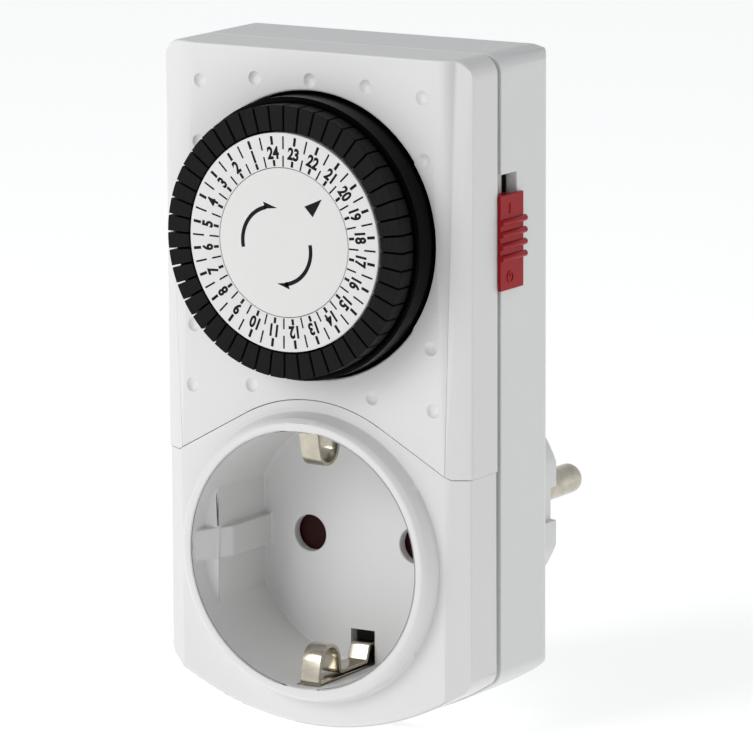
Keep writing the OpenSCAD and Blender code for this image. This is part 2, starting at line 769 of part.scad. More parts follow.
module motor_can() {
    color([0.72, 0.73, 0.74]) difference() {
        rod(can_r, can_y, can_y + can_len, axle_3);
        rod(can_r - can_t, can_y + can_t, can_y + can_len - can_t, axle_3);
        rod(2.6, can_y - 1, can_y + can_t + 1, axle_3);
        rod(axle_r + running, can_y + can_len - can_t - 1, can_y + can_len + 1, axle_3);
    }
}

module motor_coil() {
    color([0.72, 0.4, 0.2]) tube(can_r - can_t - 0.2, 7.6, can_y + can_t, can_y + can_len - can_t, axle_3);
}

// Magnet rotor on its shaft, with the first pinion of the train
module motor_rotor() {
    color([0.3, 0.3, 0.32]) {
        rod(6.8, can_y + can_t + 0.5, can_y + can_len - can_t - 0.5, axle_3);
        rod(axle_r, level_3[0] - 0.4, can_y + can_len - 0.1, axle_3);
        translate([axle_3[0], 0, axle_3[1]]) from_to(level_3[0] - 0.2, level_3[1] + 0.2)
            rotate(mesh_3_angle + 180 + 180 / pinion_teeth) gear_outline(pinion_teeth);
    }
}

// Red slider: the ribbed cap outside and the neck through the slot
module mode_slider() {
    x0 = half_w + sliding;
    x1 = half_w + slider_proud;
    low_z = slider_z - slider_h / 2;
    high_z = slider_z + slider_h / 2;
    y0 = seam_y - 0.9;
    rib_pitch = 1.8;
    rib_over = 0.5;
    color([0.74, 0.13, 0.16]) {
        block([x0, y0, low_z], [x1, y0 + slider_w, high_z]);
        // Four grip ribs between the two marks
        for (k = [0:3])
            rod(grip_rib_r, y0, y0 + slider_w + rib_over, [x1, slider_z + 0.4 + (1.5 - k) * rib_pitch]);
        // Neck
        block([half_w - wall - sliding, seam_y + 0.6, low_z + 1.1],
              [x0 + eps, seam_y + slot_w - 0.3, high_z - 0.3]);
    }
}

// White carriage behind the wall, which keeps the slot covered
module slider_carriage() {
    x1 = half_w - wall - sliding;
    low_z = slider_z - slider_h / 2 - 3;
    high_z = slider_z + slider_h / 2 + slider_travel + 0.6;
    color([0.85, 0.85, 0.83]) {
        block([x1 - carriage_t, seam_y + 0.6, low_z], [x1, seam_y + 4, high_z]);
        // Two teeth for the detent
        for (k = [0, 1])
            rod(tooth_r, seam_y + 1, seam_y + 2.6, [x1 - carriage_t, slider_z - 4 + k * slider_travel]);
    }
}

// Leaf spring that clicks behind the carriage's teeth
module detent_spring() {
    x1 = half_w - wall - sliding - carriage_t;
    z = slider_z - 4 + slider_travel / 2;
    leaf_t = 0.5;
    color([0.75, 0.75, 0.76]) {
        block([plate_right_x - leaf_t, seam_y + 1, z - 7], [plate_right_x, plate_y, z + 1]);
        block([plate_right_x - leaf_t, seam_y + 1, z - 0.3],
              [x1 - tooth_r - sliding, seam_y + 2.4, z + 0.3]);
    }
}

// Plug pin with a rounded tip, held in the end wall by its land and its collar
module plug_pin(x) {
    tip_r = 1.6;
    steps = 8;
    color([0.78, 0.77, 0.74]) turned([x, 0])
        polygon(concat([[0, strap_y - neck_len], [pin_neck_r, strap_y - neck_len], [pin_neck_r, strap_y],
                        [pin_collar_r, strap_y], [pin_collar_r, -end_wall], [pin_land_r, -end_wall],
                        [pin_land_r, 0], [pin_r, 0]],
                       [for (i = [0:steps]) [pin_r - tip_r, pin_len - tip_r] + polar(tip_r, i * 90 / steps)],
                       [[0, pin_len]]));
}

module live_pin() {
    plug_pin(pin_x);
}

module neutral_pin() {
    plug_pin(-pin_x);
}

// Split sleeve that grips a pin of the plug put into the socket
module socket_sleeve(x) {
    color([0.82, 0.66, 0.36]) difference() {
        tube(sleeve_r, pin_r + 0.05, sleeve_front_y, sleeve_rear_y, [x, socket_z]);
        block([x - 4, sleeve_front_y - 1, socket_z - 0.4], [x + 4, sleeve_rear_y - 3, socket_z + 0.4]);
    }
}

module socket_contact_left() {
    socket_sleeve(-pin_x);
}

module socket_contact_right() {
    socket_sleeve(pin_x);
}

// Joins the left sleeve to the left pin
module neutral_strap() {
    side_x = 3.4;
    color([0.8, 0.5, 0.28]) difference() {
        union() {
            block([-pin_x - side_x, sleeve_rear_y, socket_z - sleeve_r],
                  [-pin_x + side_x, sleeve_rear_y + bar_t, bar_half]);
            block([-pin_x - side_x, sleeve_rear_y, -bar_half], [-pin_x - side_x + bar_t, strap_y, bar_half]);
            block([-pin_x - side_x, strap_y - bar_t, -bar_half], [-pin_x + side_x, strap_y, bar_half]);
        }
        rod(pin_neck_r, strap_y - bar_t - 1, 0, [-pin_x, 0]);
    }
}

// Runs from the right pin up to the root of the moving contact
module live_busbar() {
    root_x = blade_root_x - 1.2;
    riser_x = -5.6;
    inner_x = 2.4;
    run_y = well_back_y + 3.6;
    eye_y = strap_y - 1.5;
    riser_w = 1.6;
    top = blade_z + blade_half;
    color([0.8, 0.5, 0.28]) {
        // Eye round the neck of the pin
        difference() {
            block([inner_x, eye_y, -bar_half], [pin_x + bar_half, strap_y, bar_half]);
            rod(pin_neck_r, eye_y - 1, strap_y + 1, [pin_x, 0]);
        }
        // Forward between the sleeves, across, and up to the root of the blade
        block([inner_x, run_y, -riser_w], [inner_x + bar_t, eye_y + eps, riser_w]);
        block([riser_x, run_y, -riser_w], [inner_x + bar_t, run_y + bar_t, riser_w]);
        block([riser_x, run_y, -riser_w], [riser_x + riser_w, run_y + bar_t, top]);
        block([blade_root_x - 0.2, run_y, blade_z - blade_half], [riser_x + riser_w, run_y + bar_t, top]);
        block([root_x, blade_y, blade_z - blade_half], [blade_root_x - 0.1, run_y + bar_t, top]);
    }
}

// Runs from the right sleeve up to the fixed contact
module switched_busbar() {
    eye_half = 4;
    riser_x = pin_x + 6;
    outer_x = riser_x + 2.1;
    run_y = sleeve_front_y;
    top = blade_z + blade_half;
    color([0.8, 0.5, 0.28]) {
        // Eye round the sleeve
        difference() {
            block([pin_x - eye_half, run_y, socket_z - eye_half],
                  [outer_x, run_y + bar_t, socket_z + eye_half]);
            rod(sleeve_r + snug, run_y - 1, run_y + bar_t + 1, [pin_x, socket_z]);
        }
        block([riser_x, run_y, socket_z - eye_half], [outer_x, run_y + bar_t, top]);
        block([riser_x, pad_y + pad_t + fixed_t, blade_z - blade_half], [outer_x, run_y + bar_t, top]);
    }
}

// Path of an earth strip's contact in the well, as depth and distance from the well's middle:
// forward along the wall, round the fold, and back over the arch
function clip_path() = let (
    fold_r = 0.65,
    fold = [face_y - 0.6, strip_z - fold_r],
    arch_r = 3.1,
    arch = [face_y + 3.6, strip_crest_z + arch_r]) concat(
    [[well_back_y + 3, strip_z]],
    [for (a = [90:25:215]) fold + polar(fold_r, a)],
    [for (a = [215:15:325]) arch + polar(arch_r, a)],
    [[face_y + 9.4, strip_crest_z + 3.4]]);

module earth_strip(s) {
    outer_z = s * plug_strip_z;
    color([0.76, 0.75, 0.72])
        strip(concat([[-2.8, outer_z], [rear_y - wall - 2, outer_z]],
                     [for (p = clip_path()) [p[0], s * p[1] + socket_z]]), strip_t, strip_w);
}

module earth_strip_top() {
    earth_strip(1);
}

module earth_strip_bottom() {
    earth_strip(-1);
}

// Red shutter behind the floor: a bar on a pivot that covers both pin holes at rest
module shutter() {
    y0 = well_back_y + 0.2;
    color([0.5, 0.08, 0.08]) difference() {
        union() {
            rod(2, well_back_y - 0.9, y0 + eps, [0, socket_z]);
            translate([0, 0, socket_z]) from_to(y0, y0 + 1.2) {
                circle(4.5);
                intersection() {
                    circle(13.6, $fn = 96);
                    square([28, 6], center = true);
                }
            }
        }
        rod(1.1, well_back_y - 2, y0 + 3, [0, socket_z]);
    }
}

// Plate behind the shutter, with its pivot pin and a hole for each sleeve
module shutter_plate() {
    y0 = well_back_y + 1.8;
    color([0.86, 0.84, 0.78]) difference() {
        union() {
            block([-16, y0, socket_z - 7], [16, y0 + 1.6, socket_z + 7]);
            rod(1.1 - running, well_back_y - 0.6, y0 + eps, [0, socket_z]);
            // Distance pieces against the back of the well
            for (s = [-1, 1])
                block([s * 14.9 - 1.1, well_back_y, socket_z - 7], [s * 14.9 + 1.1, y0 + eps, socket_z + 7]);
        }
        for (s = [-1, 1]) rod(pin_hole_d / 2, y0 - 1, y0 + 3, [s * pin_x, socket_z]);
    }
}

// Flat spring on the pivot that turns the shutter back over the holes
module shutter_spring() {
    y0 = well_back_y + 1.5;
    y1 = well_back_y + 1.8;
    color([0.7, 0.7, 0.72]) {
        tube(2.6, 1.9, y0, y1, [0, socket_z]);
        block([-2.6, y0, socket_z], [-2, y1, socket_z + 6.4]);
    }
}

rear_shell();
upper_cover();
socket_cover();
housing_screws();
dial_ring();
number_disc();
centre_cap();
mode_slider();
slider_carriage();
detent_spring();
mechanism_plate();
motor_can();
motor_coil();
motor_rotor();
gear_1();
gear_2();
gear_axles();
trip_lever();
lever_pin();
moving_contact();
fixed_contact();
live_pin();
neutral_pin();
live_busbar();
switched_busbar();
neutral_strap();
socket_contact_left();
socket_contact_right();
earth_strip_top();
earth_strip_bottom();
shutter();
shutter_spring();
shutter_plate();
for (hour = [1:24]) hour_segments(hour);
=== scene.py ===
import math

import bmesh
import bpy
import numpy as np
from mathutils import Matrix, Vector


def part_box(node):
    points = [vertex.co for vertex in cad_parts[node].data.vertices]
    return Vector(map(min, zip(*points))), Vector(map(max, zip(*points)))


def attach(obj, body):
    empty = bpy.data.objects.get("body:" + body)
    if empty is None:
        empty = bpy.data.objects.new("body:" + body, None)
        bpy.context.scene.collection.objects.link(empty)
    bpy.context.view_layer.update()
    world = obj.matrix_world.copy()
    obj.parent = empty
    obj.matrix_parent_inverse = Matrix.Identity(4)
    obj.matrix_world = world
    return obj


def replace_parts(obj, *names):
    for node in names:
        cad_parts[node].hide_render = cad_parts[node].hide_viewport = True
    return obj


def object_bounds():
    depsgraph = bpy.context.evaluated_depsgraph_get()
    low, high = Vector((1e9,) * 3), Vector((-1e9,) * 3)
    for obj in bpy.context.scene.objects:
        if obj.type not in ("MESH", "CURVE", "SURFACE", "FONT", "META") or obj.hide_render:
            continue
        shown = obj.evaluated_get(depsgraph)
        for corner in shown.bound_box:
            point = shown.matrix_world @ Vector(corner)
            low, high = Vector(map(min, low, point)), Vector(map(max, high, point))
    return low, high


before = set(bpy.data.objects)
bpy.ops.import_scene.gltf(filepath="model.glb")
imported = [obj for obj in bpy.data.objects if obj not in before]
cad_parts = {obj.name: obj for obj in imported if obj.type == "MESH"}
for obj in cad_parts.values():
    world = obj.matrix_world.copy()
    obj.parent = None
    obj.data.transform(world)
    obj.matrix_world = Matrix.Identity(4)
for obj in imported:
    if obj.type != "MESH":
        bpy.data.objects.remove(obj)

cad_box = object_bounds()

# ---- Studio: a white floor, a bright horizon and soft boxes --------------------------------
# The timer stands free on a white sweep, as in a catalogue picture. A large soft box on the left
# front lights the face, a weaker one fills the side, and little comes from straight above, so the
# top is the darkest of the white faces. The room beyond the right front is dim, as the
# metal parts mirror it.
MM = 0.001
SOCKET_Z = -2.2 * MM
FACE_Y = -44.4 * MM
PICTURE_PX = 753.0
SENSOR_MM = 36.0
scene = bpy.context.scene
scene.view_settings.view_transform = "Standard"


def camera_from_fit(yaw, pitch, roll, focal_px, place):
    """Camera whose rotation is roll about its axis, after pitch about its x axis, after yaw about
    the upright axis. place is where the camera sees the socket's middle on the front, in mm."""
    (cos_z, sin_z), (cos_x, sin_x), (cos_a, sin_a) = [(math.cos(a), math.sin(a)) for a in (yaw, pitch, roll)]
    about_z = np.array([[cos_z, -sin_z, 0], [sin_z, cos_z, 0], [0, 0, 1]])
    about_x = np.array([[1, 0, 0], [0, cos_x, -sin_x], [0, sin_x, cos_x]])
    about_axis = np.array([[cos_a, -sin_a, 0], [sin_a, cos_a, 0], [0, 0, 1]])
    upright = np.array([[1, 0, 0], [0, 0, -1], [0, 1, 0]])
    turn = about_axis @ about_x @ upright @ about_z
    centre = np.array([0, FACE_Y, SOCKET_Z]) / MM - turn.T @ np.array(place)
    # A Blender camera looks along its own -Z with +Y up, so its rows are x, -y and -z of the fit
    rows = np.diag([1.0, -1.0, -1.0]) @ turn
    data = bpy.data.cameras.new("camera")
    data.sensor_width = SENSOR_MM
    data.lens = focal_px / PICTURE_PX * SENSOR_MM
    data.clip_start, data.clip_end = 0.05, 20.0
    made = bpy.data.objects.new("camera", data)
    made.matrix_world = Matrix.Translation(Vector(centre * MM)) @ Matrix(rows.T.tolist()).to_4x4()
    scene.collection.objects.link(made)
    scene.camera = made


camera_from_fit(yaw=-0.5451, pitch=0.1860, roll=-0.0036, focal_px=6135.9,
                place=(-9.7235, 27.3781, 930.6121))

FLOOR_HALF = 3.0
floor_z = cad_box[0][2] - 0.4 * MM
floor_mesh = bpy.data.meshes.new("floor")
ends = np.linspace(-FLOOR_HALF, FLOOR_HALF, 2)
floor_mesh.from_pydata([(x, y, floor_z) for y in ends for x in ends], [], [(0, 1, 3, 2)])
floor = bpy.data.objects.new("floor", floor_mesh)
scene.collection.objects.link(floor)
floor_paper = bpy.data.materials.new("floor_paper")
floor_paper.use_nodes = True
paper = floor_paper.node_tree.nodes["Principled BSDF"]
paper.inputs["Base Color"].default_value = (0.90, 0.90, 0.90, 1)
paper.inputs["Roughness"].default_value = 0.9
paper.inputs["Specular IOR Level"].default_value = 0.0
paper.inputs["Emission Color"].default_value = (1.0, 1.0, 1.0, 1)
paper.inputs["Emission Strength"].default_value = 0.48
floor_mesh.materials.append(floor_paper)


def wire(tree, *pairs):
    """Links sources to targets in a node tree."""
    for source, target in pairs:
        tree.links.new(source, target)


# The sky is bright at the horizon and dimmer overhead, and darker still toward the right front
world = bpy.data.worlds.new("studio")
scene.world = world
world.use_nodes = True
sky = world.node_tree
sky_place = sky.nodes.new("ShaderNodeTexCoord").outputs["Generated"]
sky_height = sky.nodes.new("ShaderNodeSeparateXYZ")
fade = sky.nodes.new("ShaderNodeMapRange")
fade.inputs["To Min"].default_value = 0.93
fade.inputs["To Max"].default_value = 0.33
room_way = sky.nodes.new("ShaderNodeVectorMath")
room_way.operation = "DOT_PRODUCT"
room_way.inputs[1].default_value = (0.62, -0.77, 0.12)
room = sky.nodes.new("ShaderNodeMapRange")
room.interpolation_type = "SMOOTHSTEP"
room.inputs["From Min"].default_value = 0.60
room.inputs["From Max"].default_value = 0.95
room.inputs["To Min"].default_value = 1.0
room.inputs["To Max"].default_value = 0.25
power = sky.nodes.new("ShaderNodeMath")
power.operation = "MULTIPLY"
wire(sky,
     (sky_place, sky_height.inputs["Vector"]),
     (sky_height.outputs["Z"], fade.inputs["Value"]),
     (sky_place, room_way.inputs[0]),
     (room_way.outputs["Value"], room.inputs["Value"]),
     (fade.outputs["Result"], power.inputs[0]),
     (room.outputs["Result"], power.inputs[1]),
     (power.outputs["Value"], sky.nodes["Background"].inputs["Strength"]))
sky.nodes["Background"].inputs["Color"].default_value = (0.97, 0.985, 1.0, 1)


def soft_box(name, at, size, watts):
    """A square area light at a point, turned so that its face looks at the timer."""
    data = bpy.data.lights.new(name, "AREA")
    data.shape, data.size, data.energy = "SQUARE", size, watts
    made = bpy.data.objects.new(name, data)
    way = Vector(TIMER_MIDDLE) - Vector(at)
    made.matrix_world = Matrix.Translation(Vector(at)) @ way.to_track_quat("-Z", "Y").to_matrix().to_4x4()
    scene.collection.objects.link(made)


TIMER_MIDDLE = (0, -0.03, 0.02)
soft_box("key", (-0.40, -0.80, 0.45), 0.50, 3.6)
soft_box("side", (0.90, 0.10, 0.25), 0.50, 0.5)

# ---- Housing: two white covers and the grey rear shell --------------------------------------
# Injection moulded from glass-fibre polyamide with a fine spark-eroded grain. The shells clip
# and screw together from behind.


def group_of(name, numbers, outputs):
    """A new shader node group with named number inputs and typed outputs, and its two ends."""
    group = bpy.data.node_groups.new(name, "ShaderNodeTree")
    for label, value in numbers:
        socket = group.interface.new_socket(label, in_out="INPUT", socket_type="NodeSocketFloat")
        socket.default_value = value
    for label, kind in outputs:
        group.interface.new_socket(label, in_out="OUTPUT", socket_type=kind)
    return group, group.nodes.new("NodeGroupInput"), group.nodes.new("NodeGroupOutput")


def noise_at(tree, place, scale_socket, detail):
    """A noise texture read at a place, with its scale from a socket; gives its value."""
    made = tree.nodes.new("ShaderNodeTexNoise")
    made.inputs["Detail"].default_value = detail
    wire(tree, (place, made.inputs["Vector"]), (scale_socket, made.inputs["Scale"]))
    return made.outputs["Fac"]


moulded_grain, ends_in, ends_out = group_of(
    "moulded_grain", [("Grain Scale", 5200.0), ("Cloud Scale", 60.0)],
    [("Height", "NodeSocketFloat"), ("Cloud", "NodeSocketFloat")])
place = moulded_grain.nodes.new("ShaderNodeTexCoord").outputs["Object"]
wire(moulded_grain,
     (noise_at(moulded_grain, place, ends_in.outputs["Grain Scale"], 3.0), ends_out.inputs["Height"]),
     (noise_at(moulded_grain, place, ends_in.outputs["Cloud Scale"], 2.0), ends_out.inputs["Cloud"]))


def moulded(name, tint, shade, rough, grain=5200.0, depth=0.000012, cloud=60.0, metal=0.0, gleam=0.5):
    """A moulded or plated finish: the colour drifts between shade and tint with the cloud, the
    roughness drifts by 8 % each way with it, and the grain is a fine bump. gleam is how much the
    surface mirrors, with 0.5 for plain plastic."""
    made = bpy.data.materials.new(name)
    made.use_nodes = True
    tree = made.node_tree
    surface = tree.nodes["Principled BSDF"]
    grain_node = tree.nodes.new("ShaderNodeGroup")
    grain_node.node_tree = moulded_grain
    grain_node.inputs["Grain Scale"].default_value = grain
    grain_node.inputs["Cloud Scale"].default_value = cloud
    colours = tree.nodes.new("ShaderNodeMix")
    colours.data_type = "RGBA"
    colours.inputs["A"].default_value = (*shade, 1)
    colours.inputs["B"].default_value = (*tint, 1)
    gloss = tree.nodes.new("ShaderNodeMapRange")
    gloss.inputs["To Min"].default_value = rough * 0.92
    gloss.inputs["To Max"].default_value = rough * 1.08
    bump = tree.nodes.new("ShaderNodeBump")
    bump.inputs["Distance"].default_value = depth
    wire(tree,
         (grain_node.outputs["Cloud"], colours.inputs["Factor"]),
         (colours.outputs["Result"], surface.inputs["Base Color"]),
         (grain_node.outputs["Cloud"], gloss.inputs["Value"]),
         (gloss.outputs["Result"], surface.inputs["Roughness"]),
         (grain_node.outputs["Height"], bump.inputs["Height"]),
         (bump.outputs["Normal"], surface.inputs["Normal"]))
    surface.inputs["Metallic"].default_value = metal
    surface.inputs["Specular IOR Level"].default_value = gleam
    return made


def finish_nodes(material, *nodes):
    """Gives some nodes of the frame one material."""
    for name in nodes:
        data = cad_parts[name].data
        data.materials.clear()
        data.materials.append(material)


def as_piece(name, mesh, body, material):
    """Puts a mesh in the scene as a piece that rides on a body, with one material."""
    mesh.materials.clear()
    mesh.materials.append(material)
    made = bpy.data.objects.new(name, mesh)
    scene.collection.objects.link(made)
    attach(made, body)
    return made


SEAM_GAP = 0.55 * MM
WELD = 0.002 * MM
FLAT = math.radians(0.6)
SHARP = math.radians(28)
SLANT = math.radians(10)
STRIP_X = 18 * MM
CLIP_SLOT_HALF = 2.6 * MM


def softened(name, node, width, gap, body, material):
    """A node's own shape with its sharp edges rounded: the triangles are merged, flat ones are
    joined, and edges over 28 degrees get a bevel where they are long enough to hold it. Along the
    parting line between the covers the bevel is small, and the front edges of the slanted side
    strips and the slots for the earth strips stay crisp. gap draws the rear rim forward, which
    leaves a shadow line against the rear shell."""
    work = bmesh.new()
    work.from_mesh(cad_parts[node].data)
    bmesh.ops.remove_doubles(work, verts=work.verts, dist=WELD)
    bmesh.ops.dissolve_limit(work, angle_limit=FLAT, verts=work.verts, edges=work.edges)
    weight = work.edges.layers.float.new("bevel_weight_edge")
    for edge in work.edges:
        middle, length = (edge.verts[0].co + edge.verts[1].co) / 2, edge.calc_length()
        angle, above_socket = edge.calc_face_angle(0), middle.z - SOCKET_Z
        upright = abs(edge.verts[0].co.z - edge.verts[1].co.z) > 0.6 * length
        on_front = max(abs(vert.co.y - FACE_Y) for vert in edge.verts) < 0.05 * MM
        side_strip = upright and on_front and abs(middle.x) > STRIP_X and angle > SLANT
        clip_slot = (abs(middle.x) < CLIP_SLOT_HALF and 13.5 * MM < abs(above_socket) < 22 * MM
                     and angle > SHARP)
        if side_strip or clip_slot:
            edge.smooth = False
        elif angle > SHARP:
            parting = 11.5 * MM < middle.z < 23 * MM and math.hypot(middle.x, above_socket) > 23.4 * MM
            edge[weight] = (length > 0.4 * MM) * (0.3 if parting and not upright else 1.0)
            edge.smooth = edge[weight] > 0
    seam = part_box("upper_cover")[1][1]
    for vert in work.verts:
        if abs(vert.co.y - seam) < 0.01 * MM:
            vert.co.y -= gap
    mesh = bpy.data.meshes.new(name)
    work.to_mesh(mesh)
    work.free()
    mesh.polygons.foreach_set("use_smooth", np.ones(len(mesh.polygons), dtype=bool))
    made = as_piece(name, mesh, body, material)
    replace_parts(made, node)
    bevel = made.modifiers.new("edges", "BEVEL")
    bevel.limit_method, bevel.width, bevel.segments = "WEIGHT", width, 3
    bevel.use_clamp_overlap, bevel.loop_slide = False, False
    even = made.modifiers.new("normals", "WEIGHTED_NORMAL")
    even.keep_sharp = True


cover_white = moulded("cover_white", (0.725, 0.720, 0.716), (0.705, 0.701, 0.698), 0.40)
shell_white = moulded("shell_white", (0.710, 0.713, 0.710), (0.690, 0.694, 0.692), 0.44)
softened("upper_cover_shell", "upper_cover", 0.35 * MM, SEAM_GAP, "housing", cover_white)
softened("socket_cover_shell", "socket_cover", 0.28 * MM, SEAM_GAP, "housing", cover_white)
softened("rear_shell_shell", "rear_shell", 0.20 * MM, 0.0, "housing", shell_white)
finish_nodes(moulded("screw_steel", (0.62, 0.62, 0.64), (0.50, 0.50, 0.52), 0.32, metal=1.0),
             "housing_screws", "gear_axles", "lever_pin", "motor_can")

# ---- Works behind the covers ----------------------------------------------------------------
# Natural acetal gears and plate, stamped brass and copper contacts, an enamelled winding and a
# ferrite rotor. They are plain mouldings and stampings, pushed or riveted into place.
finish_nodes(moulded("acetal", (0.80, 0.77, 0.68), (0.74, 0.70, 0.60), 0.35), "gear_1", "gear_2")
finish_nodes(moulded("plate_beige", (0.66, 0.61, 0.50), (0.60, 0.55, 0.44), 0.45),
             "mechanism_plate", "shutter_plate")
finish_nodes(moulded("contact_brass", (0.78, 0.58, 0.27), (0.66, 0.46, 0.20), 0.28, metal=1.0),
             "moving_contact", "fixed_contact", "socket_contact_left", "socket_contact_right")
finish_nodes(moulded("strip_copper", (0.80, 0.42, 0.24), (0.66, 0.32, 0.17), 0.30, metal=1.0),
             "live_busbar", "switched_busbar", "neutral_strap")
finish_nodes(moulded("winding", (0.55, 0.22, 0.09), (0.40, 0.14, 0.05), 0.30, grain=2600.0, depth=0.00006),
             "motor_coil")
finish_nodes(moulded("ferrite", (0.05, 0.05, 0.055), (0.03, 0.03, 0.035), 0.55), "motor_rotor")
finish_nodes(moulded("lever_orange", (0.60, 0.16, 0.04), (0.52, 0.13, 0.03), 0.42), "trip_lever")
finish_nodes(moulded("spring_steel", (0.66, 0.66, 0.68), (0.55, 0.55, 0.57), 0.25, metal=1.0),
             "detent_spring", "shutter_spring")

# ---- Plug pins, shutter and earth strips ----------------------------------------------------
# Nickel-plated brass: solid turned pins with rounded tips, and two strips bent from sheet, each
# from the plug's edge through the housing to an arched contact in the socket's well.
# The plating's colour swings in small clouds between cream and a dark grey far below plated metal: painted
# reflections, the bright streaks and dark patches that the pins and strips mirror.
nickel = moulded("nickel_plate_painted_reflections", (0.70, 0.66, 0.56), (0.34, 0.30, 0.24), 0.20, grain=1800.0, depth=0.006 * MM,
                 cloud=420.0, metal=1.0)
finish_nodes(nickel, "live_pin", "neutral_pin")
# The shutter's red is darkened nearly to black: painted shade, since it sits deep in the shadow of the pin
# holes.
finish_nodes(moulded("shutter_red_painted_shade", (0.030, 0.002, 0.002), (0.020, 0.0015, 0.0015), 0.6, gleam=0.2),
             "shutter")
WELL_FLOOR_Y = -29.8 * MM


def shaped(name, points, faces):
    """A mesh from an array of points and a list of faces, turned outward and smooth except over
    edges of more than 30 degrees."""
    mesh = bpy.data.meshes.new(name)
    mesh.from_pydata(points.tolist(), [], faces)
    work = bmesh.new()
    work.from_mesh(mesh)
    bmesh.ops.recalc_face_normals(work, faces=work.faces)
    work.to_mesh(mesh)
    work.free()
    mesh.shade_smooth()
    mesh.set_sharp_from_angle(angle=math.radians(30))
    return mesh


def filleted(corners, steps=6):
    """A path in depth and height from corners (depth, height, radius): straight between corners,
    with an arc of that radius at each inner one."""
    path = [np.array(corners[0][:2])]
    for before, corner, after in zip(corners, corners[1:], corners[2:]):
        here, radius = np.array(corner[:2]), corner[2]
        inward = (np.array(before[:2]) - here) / np.linalg.norm(np.array(before[:2]) - here)
        onward = (np.array(after[:2]) - here) / np.linalg.norm(np.array(after[:2]) - here)
        half = math.acos(np.clip(inward @ onward, -1, 1)) / 2
        middle = here + (inward + onward) / np.linalg.norm(inward + onward) * radius / math.sin(half)
        reach = radius / math.tan(half)
        start, stop = here + inward * reach - middle, here + onward * reach - middle
        for t in np.linspace(0, 1, steps + 1):
            spoke = start * (1 - t) + stop * t
            path.append(middle + spoke / np.linalg.norm(spoke) * radius)
    return np.array(path + [np.array(corners[-1][:2])])


def bent_strip(name, path, width, thickness, soft):
    """Sheet metal bent along a path in depth and height: a rectangle with rounded corners, width
    along X and thickness across the path, carried along it and closed at both ends."""
    turn = np.linspace(0, 2 * math.pi, 24, endpoint=False) + math.pi / 24
    ring_x = np.sign(np.cos(turn)) * (width / 2 - soft) + soft * np.cos(turn)
    ring_n = np.sign(np.sin(turn)) * (thickness / 2 - soft) + soft * np.sin(turn)
    run = np.gradient(path, axis=0)
    run /= np.linalg.norm(run, axis=1)[:, None]
    across = np.stack([-run[:, 1], run[:, 0]], -1)
    y = path[:, None, 0] + ring_n[None] * across[:, None, 0]
    z = path[:, None, 1] + ring_n[None] * across[:, None, 1]
    points = np.stack([np.broadcast_to(ring_x, y.shape), y, z], -1)
    index = np.arange(y.size).reshape(y.shape)
    after = np.roll(index, -1, axis=1)
    quads = np.stack([index[:-1], after[:-1], after[1:], index[1:]], -1).reshape(-1, 4).tolist()
    return shaped(name, points.reshape(-1, 3), quads + [index[0].tolist(), index[-1].tolist()])


def clip_corners(way):
    """Corners of an earth strip, way 1 up or -1 down: the plug's side, the run through the housing, the
    fold at the well's mouth, the arch, and the bend that stands in the slot of the floor."""
    wall, crest = 19.7, 14.2
    face, floor_y = FACE_Y / MM, WELL_FLOOR_Y / MM
    well = [(floor_y + 4.8, wall, 0.6), (face - 0.9, wall, 0.62), (face + 0.25, crest, 2.5),
            (face + 4.9, crest, 2.5), (face + 5.3, 18.8, 0.7), (floor_y - 1.5, 18.8, 0.5),
            (floor_y - 0.6, 16.3, 0.4), (floor_y + 1.5, 16.3, 0)]
    behind = [(-2.8, way * 16.6, 0), (-20.9, way * 16.6, 0.5)]
    return behind + [(y, way * z + SOCKET_Z / MM, radius) for y, z, radius in well]


for way, node in ((1, "earth_strip_top"), (-1, "earth_strip_bottom")):
    strip_path = filleted(clip_corners(way)) * MM
    strip_mesh = bent_strip(node + "_bent", strip_path, 3.4 * MM, 0.6 * MM, 0.14 * MM)
    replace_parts(as_piece(node + "_bent", strip_mesh, "housing", nickel), node)

# ---- Dial drum and segments -----------------------------------------------------------------
# The drum is polished black plastic. The segments slide in it; their faces are matt, with fine
# upright drag marks from the tool, and their edges are slightly rounded.


def soft_edges(width, *nodes):
    """Rounds every edge over 40 degrees of some nodes: their loose triangles are welded, flat
    ones are joined, and the bevel's normals are evened out."""
    for name in nodes:
        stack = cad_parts[name].modifiers
        stack.new("weld", "WELD").merge_threshold = WELD
        flat = stack.new("flat", "DECIMATE")
        flat.decimate_type, flat.angle_limit = "DISSOLVE", FLAT
        bevel = stack.new("edges", "BEVEL")
        bevel.limit_method, bevel.angle_limit = "ANGLE", math.radians(40)
        bevel.width, bevel.segments = width, 2
        even = stack.new("normals", "WEIGHTED_NORMAL")
        even.keep_sharp = False


streaks, ends_in, ends_out = group_of("streaks", [("Scale", 900.0)], [("Streak", "NodeSocketFloat")])
stretch = streaks.nodes.new("ShaderNodeMapping")
stretch.inputs["Scale"].default_value = (5.0, 5.0, 0.35)
wire(streaks,
     (streaks.nodes.new("ShaderNodeTexCoord").outputs["Object"], stretch.inputs["Vector"]),
     (noise_at(streaks, stretch.outputs["Vector"], ends_in.outputs["Scale"], 4.0), ends_out.inputs["Streak"]))


